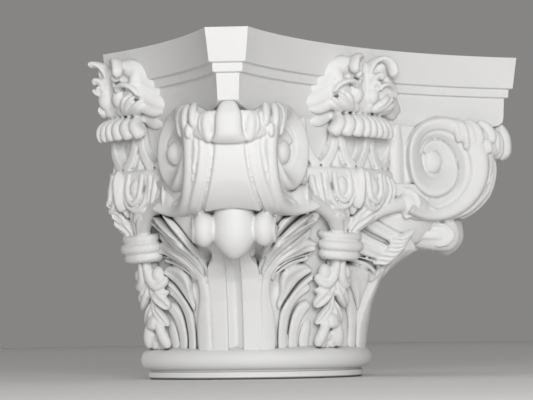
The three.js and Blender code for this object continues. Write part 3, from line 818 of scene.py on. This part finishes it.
# collar, with finer ribs on one side of the middle than on the other, and a leaf at its end
collar_middle = [gadroon(-4.4, 4.4)]
fine_collar = [gadroon(low, high) for low, high in ((4.4, 13.6), (13.6, 22), (22, 31), (31, 39.5))]
broad_collar = [gadroon(low, high) for low, high in ((4.4, 16), (16, 28.5), (28.5, 40))]
ornament_quarter.append(petal(
    [24, 146, 246, 6, 5], [34, 145.5, 241.5, 9, 4], [45, 145.2, 236.5, 8, 4], [54, 144, 232.5, 4, 3],
    ends=(2, 14)))

# flower: stem in the middle, then rims, shell and lobes on each side
ornament_middle.append(petal(
    [0, 151, 296, 14, 6], [0, 158, 285, 10, 6], [0, 159, 270, 8, 6], [0, 159, 257, 8, 7], [0, 158, 249, 9, 6],
    [0, 155, 244.5, 10, 4], section=outline(24, square=2.4, groove=0.2, spread=0.5), ends=(3, 3)))
ornament_quarter += [
    # rolled outer rim of the shell, from the base over the top to its hanging tip
    petal([6.5, 158, 250, 3.0, 5], [6.8, 160, 263, 3.0, 5], [7.0, 162, 275, 2.6, 5], [7.6, 165, 285, 2.4, 5],
        [10.5, 169, 291.5, 2.6, 5.5], [15.5, 173, 293.4, 3.0, 6], [21.5, 176, 290.6, 3.6, 6],
        [25, 178, 283.5, 4.0, 6], [24, 178.5, 276.5, 3.6, 5], ends=(3, 5), count=90),
    # wall of the shell behind it
    petal([12, 159, 262, 8, 6], [15, 161, 276, 10, 6], [17, 161, 287, 8, 6], ends=(4, 5)),
    petal([27, 157, 290, 5, 6], [31, 160, 284, 6, 6], [32, 162, 277, 6, 6], [30, 163, 269, 5, 6],
          ends=(3, 5)),
    # inner leaf beside the stem, curling over to its tip
    petal([7.2, 162, 256, 2, 4], [7.4, 164, 266, 2.4, 4.5], [8.2, 166, 273, 2.6, 5], [10.6, 169, 277, 2.8, 5],
        [14, 172, 277.6, 3, 5], [16.4, 174, 274, 2.6, 4], ends=(3, 4), count=60),
    petal([8.6, 165, 266, 1.8, 4], [10.4, 168, 270.5, 2, 4], [12.4, 170, 270.6, 2, 4],
        [13, 170, 266.5, 1.6, 3], ends=(3, 3)),
    # round lobe low beside the stem, and the bowl beyond it
    egg(face(9, 159, 249.5), (8, 6, 6)),
    egg(face(10.2, 165, 259.5), (6.8, 6.5, 8.4), point=0.1),
    petal([14, 168, 265, 1.8, 4], [17.5, 171, 269, 2.2, 4.5], [25, 171.5, 270.4, 2.4, 4.5],
        [34, 168.5, 267, 2.4, 4.5], [39.5, 163.5, 259.5, 2, 4], ends=(3, 3), count=60),
    egg(face(24, 160, 262), (14, 7, 8)),
    # pointed leaflets low at the side
    petal([13, 160, 247, 3, 4.5], [18, 164, 251, 3.6, 5], [23, 167.5, 256, 3.2, 5], [28, 169, 261, 1.8, 3],
        ends=(2, 6)),
    petal([14, 159, 246, 3, 4.5], [22, 163.5, 249.5, 3.6, 5], [29, 166.5, 255, 3, 4.5],
        [35.5, 167, 259.5, 1.8, 3], ends=(2, 6)),
    petal([16, 157.5, 245.4, 2.2, 4], [26, 162, 248, 3, 4.5], [34, 163.5, 251, 3, 4.5],
        [41, 162.5, 256, 1.8, 3], ends=(2, 6)),
    petal([20, 154, 244.6, 1.8, 4], [29, 158, 245.6, 2.4, 4.5], [37, 159.5, 248.5, 2.4, 4.5],
        [43, 158, 252.5, 1.6, 3], ends=(2, 6)),
    # outer lobes, falling away to the abacus, on a plain ground
    petal([16, 157, 283, 14, 6], [28, 154, 274, 17, 6], [42, 149.5, 266, 17, 5], [55, 147.5, 259, 11, 4],
        ends=(4, 10)),
    petal([15, 163, 289, 6, 7], [24, 161.5, 286, 9, 8], [35, 156.5, 279, 10, 7.5], [46, 151.5, 270, 9, 6],
        [56, 149, 262, 5, 4], ends=(4, 12)),
    petal([19, 161, 272, 5, 6], [28, 160.5, 267.5, 7, 7], [39, 156, 260, 8, 7], [51, 151.5, 253, 8, 6],
        [63, 149, 249, 5, 4], ends=(4, 14)),
    petal([27, 157, 256, 5, 6], [37, 155.5, 251.5, 7, 6], [48, 152, 247, 7, 5], [58, 149, 244.5, 4, 4],
        ends=(3, 12)),
]

# second row: egg in two loops each side of a keeled leaf, with a husk below
ornament_quarter += [
    egg(face(20, 152, 175), (7.4, 7, 11)),
    petal([12.2, 152, 190, 2.3, 5], [12.0, 155, 176, 2.4, 5], [14.5, 155, 166, 2.4, 5],
        [20, 155, 162, 2.4, 5], [26, 154, 166, 2.4, 5], [28.8, 153, 176, 2.4, 5], [29, 151, 189, 2.3, 5],
        section=STRAP, ends=(0, 0), count=60),
    petal([7, 151, 190, 2.2, 5], [7.5, 153.5, 170, 2.3, 5], [11.5, 153, 160, 2.4, 5], [20, 152, 156, 2.5, 5],
        [29.6, 151, 161, 2.4, 5], [34.4, 150, 172, 2.3, 5], [36.5, 148, 188, 2.2, 5], section=SOFT_STRAP,
        ends=(0, 0), count=60),
    # plain ground behind, and a fan of folds beyond the loops
    petal([34, 144, 189, 9, 6], [34, 145, 172, 9, 6], [31, 144, 158, 7, 5], ends=(0, 3)),
    petal([37, 147, 188, 3, 5], [38, 149, 174, 3, 6], [34, 148, 160, 2.4, 5], ends=(2, 5)),
    petal([43, 146, 188, 3.2, 5], [44, 149, 174, 3.4, 6], [38, 148, 158, 2.4, 5], ends=(2, 5)),
    petal([50, 144, 186, 3.4, 5], [51, 147, 175, 3.6, 6], [43, 147, 160, 2.4, 5], ends=(3, 5)),
]
ornament_middle += [
    petal([0, 154, 193, 2, 4], [0, 157, 186, 5, 5], [0, 157.5, 174, 5.6, 5], [0, 155, 163, 6, 5],
        [0, 151, 157, 5, 4], section=KEEL, ends=(3, 3)),
    petal([0, 144, 172, 8, 6], [0, 146, 164, 8, 7], [0, 144, 156, 5, 6], [0, 141, 152, 2, 4], section=KEEL,
        ends=(2, 4)),
]

# stems rising from the tie: the long one to the bud, leaf sprouts beside it
ornament_quarter += [
    petal([6, 132, 132, 4, 6], [13, 138, 140, 5, 6.5], [26, 144, 150, 5.5, 7], [42, 147, 157, 6, 7],
        [56, 149, 161, 7, 8], [64, 149, 163, 8, 9], section=outline(24, square=2.2), ends=(0, 4)),
    petal([3, 134, 131, 3.4, 5], [8, 141, 141, 5, 6], [16, 147, 149, 6, 6], [26, 149, 153, 3.5, 5],
        section=SCOOP, ends=(0, 5)),
    petal([6, 138, 140, 3, 5], [10, 146, 150, 5, 6], [18, 150, 156, 5, 6], [30, 151, 158, 3, 5],
        section=SCOOP, ends=(0, 5)),
    petal([3, 133, 130, 1.6, 5], [4.5, 138, 140, 1.8, 5], [8, 144, 151, 2, 5], ends=(0, 4)),
]
ornament_middle += [
    petal([0, 126, 128, 6, 6], [0, 134, 142, 5, 6], [0, 140, 152, 4, 5], ends=(0, 4)),
]

# tie of three rolls, each bent back into the ground at its ends
for z, half, p, reach in ((130.4, 3.9, 140.5, 17.5), (121.4, 4.9, 142, 18.5), (112.6, 4.0, 139, 16)):
    ornament_middle.append(sweep(faces(
        [-reach - 1, p - 18, z + 2.5, half * 0.8, 5], [-reach, p - 9, z + 1.2, half, 6],
        [-reach * 0.55, p - 1.5, z, half, 6], [0, p, z - 0.3, half, 6], [reach * 0.55, p - 1.5, z, half, 6],
        [reach, p - 9, z + 1.2, half, 6], [reach + 1, p - 18, z + 2.5, half * 0.8, 5]),
        section=outline(24, square=2.4), ends=(2, 2)))

# pendant: hooked leaves round two berries, leaf pairs, bell flower
ornament_quarter += [
    egg(face(12.5, 122, 98), (6.6, 6, 8)),
    petal([3.5, 128, 112, 3, 5], [3.6, 127, 102, 4, 5], [6, 125, 92, 4.6, 5], [12, 123, 86.5, 4, 5],
        [18.5, 120, 90, 3, 4], [20.5, 117, 96, 1.6, 3], section=outline(24, square=2.4), ends=(0, 4),
        count=60),
    petal([1.5, 119, 92, 2, 5], [5, 121, 84, 4, 5.5], [11, 120, 76, 5.6, 6], [17, 117, 70, 5, 5],
        [19.5, 114, 66, 3, 4], section=SCOOP, ends=(0, 4)),
    petal([1.2, 118, 80, 1.8, 4], [6, 120, 78, 2.6, 5], [13, 118.5, 80, 3.2, 5], [20, 115, 82, 2.4, 4],
        section=ROUND, ends=(0, 4)),
    petal([1, 116, 72, 2, 5], [5, 117.5, 64, 4, 5], [11, 115, 56, 4, 5], [16, 112, 50, 2, 4], section=SCOOP,
        ends=(0, 5)),
    # bell flower
    petal([2.5, 114, 58, 3, 4], [6, 116, 51, 4, 5], [9.5, 116, 43, 5, 5], [12.5, 113, 34, 5, 4.5],
        [13, 110, 29, 3, 3], section=ROUND, ends=(2, 4)),
    petal([3, 112, 44, 3, 4], [5, 112, 38, 4.5, 4], [6.5, 110, 31, 4.5, 3.5], [7, 108, 27, 3, 2.6],
        ends=(2, 3)),
]
ornament_middle += [
    petal([0, 117, 110, 3, 5], [0, 117, 92, 2.6, 5], [0, 116, 76, 2.2, 5], [0, 115, 62, 2, 5], ends=(0, 4)),
    petal([0, 114, 62, 3.5, 4], [0, 118, 53, 5.5, 5], [0, 119, 46, 6, 4.5], section=SOFT_STRAP, ends=(2, 3)),
    egg(face(0, 112, 39), (4, 4, 4)),
    egg(face(0, 109, 31), (4, 3, 5)),
]

EYE_RISE = 10.0      # how far the shallower eye is brought out


def shallow_eye(shape):
    """Brings the eye of the left-hand scroll's wall-side volute outwards: a rounded bump across
    the diagonal, fading away from the eye."""
    points, tris = shape
    r, t, z = -S * (points[:, 0] + points[:, 1]), S * (points[:, 0] - points[:, 1]), points[:, 2]
    share = np.exp(-((r - EYE_R) / 25)**2 - ((z - EYE_Z) / 28)**2) * smooth_step(24, 40, -t)
    return points + (EYE_RISE * share)[:, None] * np.array([-S, S, 0]), tris


# ---------- carving the pieces ----------
TURN = turning(-LEAF_TURN)
# for each corner: the layouts of its scroll, and those of its leaf
CORNERS = {"left": ([LEFT, LEFT_SIDE], [TURN @ LEFT, TURN @ LEFT_SIDE]), "right": ([RIGHT, RIGHT_SIDE],) * 2}
for side, (layouts, leaf_layouts) in CORNERS.items():
    shapes = joined(leaf + (feather if side == "right" else climbing), leaf_layouts)
    white.append(carve(side + "_acanthus", "acanthus", shapes, block))
    drop = shield(190, 19.4, 20, 153, SHIELD_FOOT[side])
    shapes = gather(joined(scroll_quarter, layouts), joined(scroll_corner + [drop], layouts[:1]))
    if side == "left":
        shapes = shallow_eye(shapes)
    white.append(carve(side + "_scroll", "scroll", shapes, block))
# for each face: the side of its collar with fine ribs, and the side with broad ones
FACES = {"front": (RIGHT, LEFT), "right": (RIGHT_WALL, RIGHT_SIDE), "left": (LEFT_WALL, LEFT_SIDE)}
for side, (fine, broad) in FACES.items():
    shapes = gather(joined(ornament_quarter, [fine, broad]), joined(ornament_middle + collar_middle, [fine]),
                    joined(fine_collar, [fine]), joined(broad_collar, [broad]))
    white.append(carve(side + "_ornament", "ornament", shapes, block))
bpy.data.objects.remove(block)

# ---------- finish of the casting ----------
CRISP_ANGLE = 28      # turned mouldings keep edges sharper than this, in degrees
CARVED_ANGLE = 95     # carved skins are shaded as one surface


def set_inputs(node, **values):
    """Puts constants on the node's own sockets; an underscore stands for a space."""
    for name, value in values.items():
        node.inputs[name.replace("_", " ")].default_value = value


def casting_material():
    """Matte white casting: noise in object space gives faint mottling and a fine tooth, and the
    share of nearby surface darkens the creases in the colour: painted shade."""
    material = bpy.data.materials.new("white_casting")
    material.use_nodes = True
    nodes, links = material.node_tree.nodes, material.node_tree.links
    shader = nodes["Principled BSDF"]
    place = nodes.new("ShaderNodeTexCoord")
    mottle = nodes.new("ShaderNodeTexNoise")
    set_inputs(mottle, Scale=9, Detail=4)
    links.new(place.outputs["Object"], mottle.inputs["Vector"])
    tone = nodes.new("ShaderNodeValToRGB")
    tone.color_ramp.elements[0].position = 0.3
    tone.color_ramp.elements[0].color = (0.70, 0.70, 0.697, 1)
    tone.color_ramp.elements[1].position = 0.7
    tone.color_ramp.elements[1].color = (0.74, 0.74, 0.737, 1)
    links.new(mottle.outputs["Fac"], tone.inputs["Fac"])
    # painted shade: ambient occlusion darkens creases and recesses in the base colour
    hollow = nodes.new("ShaderNodeAmbientOcclusion")
    hollow.samples = 8
    set_inputs(hollow, Distance=0.0045)
    # maps the occlusion to the painted crease shade that is multiplied into the colour
    painted_crease_shade = nodes.new("ShaderNodeMapRange")
    set_inputs(painted_crease_shade, From_Min=0.18, From_Max=0.64, To_Min=0.12, To_Max=1.0)
    links.new(hollow.outputs["AO"], painted_crease_shade.inputs["Value"])
    shade = nodes.new("ShaderNodeMix")
    shade.data_type = "RGBA"
    shade.blend_type = "MULTIPLY"
    set_inputs(shade, Factor=1.0)
    links.new(tone.outputs["Color"], shade.inputs["A"])
    links.new(painted_crease_shade.outputs["Result"], shade.inputs["B"])
    links.new(shade.outputs["Result"], shader.inputs["Base Color"])
    tooth = nodes.new("ShaderNodeTexNoise")
    set_inputs(tooth, Scale=900, Detail=2)
    links.new(place.outputs["Object"], tooth.inputs["Vector"])
    bump = nodes.new("ShaderNodeBump")
    set_inputs(bump, Strength=0.04, Distance=0.0004)
    links.new(tooth.outputs["Fac"], bump.inputs["Height"])
    links.new(bump.outputs["Normal"], shader.inputs["Normal"])
    set_inputs(shader, Roughness=0.62, Specular_IOR_Level=0.35)
    return material


finish = casting_material()
for piece in white:
    mesh = piece.data
    mesh.materials.clear()
    mesh.materials.append(finish)
    mesh.polygons.foreach_set("use_smooth", np.ones(len(mesh.polygons), bool))
    crispness = CRISP_ANGLE if piece in (abacus, base_ring) else CARVED_ANGLE
    mesh.set_sharp_from_angle(angle=math.radians(crispness))
    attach(piece, "root")
    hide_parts("capital")

# ---------- floor, light and surroundings ----------
FLOOR_REACH = 6000.0
FLOOR_THICK = 20.0


def plain_floor():
    """Flat slab with its top at the capital's underside."""
    ring = np.array([[-1, -1, 0], [1, -1, 0], [1, 1, 0], [-1, 1, 0]]) * FLOOR_REACH
    rings = np.stack([ring + [0, 0, -FLOOR_THICK], ring])
    floor = to_object("floor", *joined([skin(rings)], [RIGHT]))
    material = bpy.data.materials.new("floor_paint")
    material.use_nodes = True
    shader = material.node_tree.nodes["Principled BSDF"]
    shader.inputs["Base Color"].default_value = (0.8, 0.79, 0.78, 1)
    shader.inputs["Roughness"].default_value = 0.9
    floor.data.materials.append(material)


plain_floor()


def soft_light(name, direction, distance, size, power):
    """Square soft light facing the middle of the capital from the given direction."""
    data = bpy.data.lights.new(name, "AREA")
    data.size = size * MM
    data.energy = power
    light = bpy.data.objects.new(name, data)
    target = np.array([0, -60, 160.0]) * MM
    way = np.array(direction, float)
    way = way / np.linalg.norm(way)
    light.location = target + way * distance * MM
    level = np.cross([0, 0, 1], way)
    length = np.linalg.norm(level)
    facing = Matrix([list(level / length), list(np.cross(way, level) / length), list(way)]).transposed()
    light.rotation_euler = facing.to_euler()
    light.visible_camera = False
    bpy.context.scene.collection.objects.link(light)


soft_light("key", -ahead + upward * 0.20 + across * 0.07, distance=2600, size=900, power=45.5)
sun = bpy.data.lights.new("overhead", "SUN")
sun.energy = 0.3
sun.angle = math.radians(60)
bpy.context.scene.collection.objects.link(bpy.data.objects.new("overhead", sun))
world = bpy.data.worlds.new("surroundings")
world.use_nodes = True
world.node_tree.nodes["Background"].inputs["Color"].default_value = (0.24, 0.235, 0.23, 1)
world.node_tree.nodes["Background"].inputs["Strength"].default_value = 1.0
bpy.context.scene.world = world
bpy.context.scene.view_settings.view_transform = "Standard"
